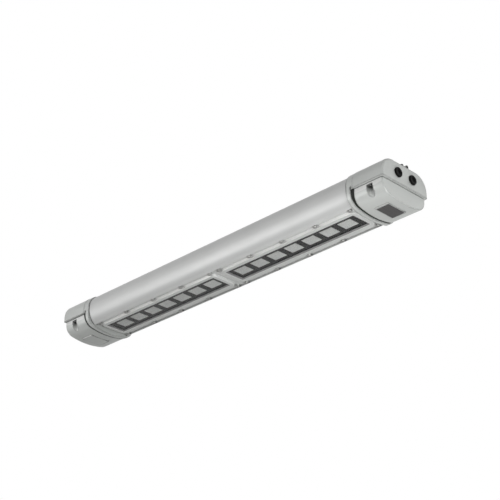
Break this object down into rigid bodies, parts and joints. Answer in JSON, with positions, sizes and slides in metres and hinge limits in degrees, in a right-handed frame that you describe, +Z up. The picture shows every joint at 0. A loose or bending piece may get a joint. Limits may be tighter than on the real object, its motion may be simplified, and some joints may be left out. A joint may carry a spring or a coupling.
{
  "type": "explosion-proof linear light fixture",
  "caption": "Long sealed ceiling light: grey metal body with two glass windows over square LED optics, cast end housings with drop-down terminal covers.",
  "frame": {"origin": "centre of the flat ceiling face on the top of the body", "axes": "+Z up out of the ceiling face, +X along the body to the end with the two cable entries, light leaves along -Z"},
  "size_m": [1.3051, 0.182, 0.1277],
  "materials": {
    "body_paint": "extruded aluminium in satin light grey powder coat",
    "casting_paint": "die-cast aluminium in light grey powder coat",
    "glass": "clear toughened glass",
    "black_rubber": "moulded black elastomer",
    "grey_silicone": "dark grey silicone section",
    "black_mask": "matt black masking sheet",
    "lens_plastic": "moulded clear grey optics with a fine prism texture",
    "board": "white solder mask on a metal-core board",
    "stainless": "stainless steel, turned",
    "black_plastic": "black glass-filled plastic",
    "plate_grey": "dark grey anodised plate, bare",
    "zinc": "zinc-plated steel",
    "driver_case": "aluminium case filled with potting compound",
    "block_grey": "grey polyamide"
  },
  "bodies": {
    "luminaire": {"body_extrusion": "body_paint", "gear_tray": "zinc", "tie_rod_a": "zinc", "tie_rod_b": "zinc", "window_frame_right": "casting_paint", "window_gasket_right": "grey_silicone", "window_glass_right": "glass", "led_bezel_right": "black_mask", "optic_strip_right": "lens_plastic", "led_board_right": "board", "led_driver_right": "driver_case", "terminal_housing_right": "casting_paint", "cover_seal_right": "black_rubber", "line_bushing_right": "black_plastic", "terminal_block_right": "block_grey", "window_frame_left": "casting_paint", "window_gasket_left": "grey_silicone", "window_glass_left": "glass", "led_bezel_left": "black_mask", "optic_strip_left": "lens_plastic", "led_board_left": "board", "led_driver_left": "driver_case", "terminal_housing_left": "casting_paint", "cover_seal_left": "black_rubber", "line_bushing_left": "black_plastic", "terminal_block_left": "block_grey", "frame_screw_right_01": "stainless", "frame_screw_right_02": "stainless", "frame_screw_right_03": "stainless", "frame_screw_right_04": "stainless", "frame_screw_right_05": "stainless", "frame_screw_right_06": "stainless", "frame_screw_right_07": "stainless", "frame_screw_right_08": "stainless", "frame_screw_right_09": "stainless", "frame_screw_right_10": "stainless", "frame_screw_left_01": "stainless", "frame_screw_left_02": "stainless", "frame_screw_left_03": "stainless", "frame_screw_left_04": "stainless", "frame_screw_left_05": "stainless", "frame_screw_left_06": "stainless", "frame_screw_left_07": "stainless", "frame_screw_left_08": "stainless", "frame_screw_left_09": "stainless", "frame_screw_left_10": "stainless", "plug_washer_a": "black_rubber", "plug_washer_b": "black_rubber", "earth_clamp": "stainless"},
    "cover_right": {"terminal_cover_right": "casting_paint", "rating_plate": "plate_grey"},
    "cover_left": {"terminal_cover_left": "casting_paint"},
    "cover_screw_right_a": {"captive_screw_right_a": "stainless"},
    "cover_screw_right_b": {"captive_screw_right_b": "stainless"},
    "cover_screw_left_a": {"captive_screw_left_a": "stainless"},
    "cover_screw_left_b": {"captive_screw_left_b": "stainless"},
    "plug_a": {"blanking_plug_a": "black_plastic"},
    "plug_b": {"blanking_plug_b": "black_plastic"},
    "earth_terminal_screw": {"earth_screw": "stainless"}
  },
  "joints": [
    {"name": "cover_right_drop", "type": "slide", "parent": "luminaire", "child": "cover_right", "axis": [0, 0, -1], "range_m": [0, 0.08]},
    {"name": "cover_left_drop", "type": "slide", "parent": "luminaire", "child": "cover_left", "axis": [0, 0, -1], "range_m": [0, 0.08]},
    {"name": "cover_screw_right_a_turn", "type": "hinge", "parent": "cover_right", "child": "cover_screw_right_a", "pos_m": [0.601, -0.0805, -0.0825], "axis": [0, 0, 1], "continuous": true},
    {"name": "cover_screw_right_b_turn", "type": "hinge", "parent": "cover_right", "child": "cover_screw_right_b", "pos_m": [0.601, 0.0805, -0.0825], "axis": [0, 0, 1], "continuous": true},
    {"name": "cover_screw_left_a_turn", "type": "hinge", "parent": "cover_left", "child": "cover_screw_left_a", "pos_m": [-0.601, 0.0805, -0.0825], "axis": [0, 0, 1], "continuous": true},
    {"name": "cover_screw_left_b_turn", "type": "hinge", "parent": "cover_left", "child": "cover_screw_left_b", "pos_m": [-0.601, -0.0805, -0.0825], "axis": [0, 0, 1], "continuous": true},
    {"name": "plug_a_turn", "type": "hinge", "parent": "luminaire", "child": "plug_a", "pos_m": [0.65, -0.029, -0.0464], "axis": [1, 0, 0], "continuous": true},
    {"name": "plug_b_turn", "type": "hinge", "parent": "luminaire", "child": "plug_b", "pos_m": [0.65, 0.029, -0.0464], "axis": [1, 0, 0], "continuous": true},
    {"name": "earth_screw_turn", "type": "hinge", "parent": "luminaire", "child": "earth_terminal_screw", "pos_m": [0.6415, 0, -0.011], "axis": [0, 0, 1], "continuous": true}
  ]
}
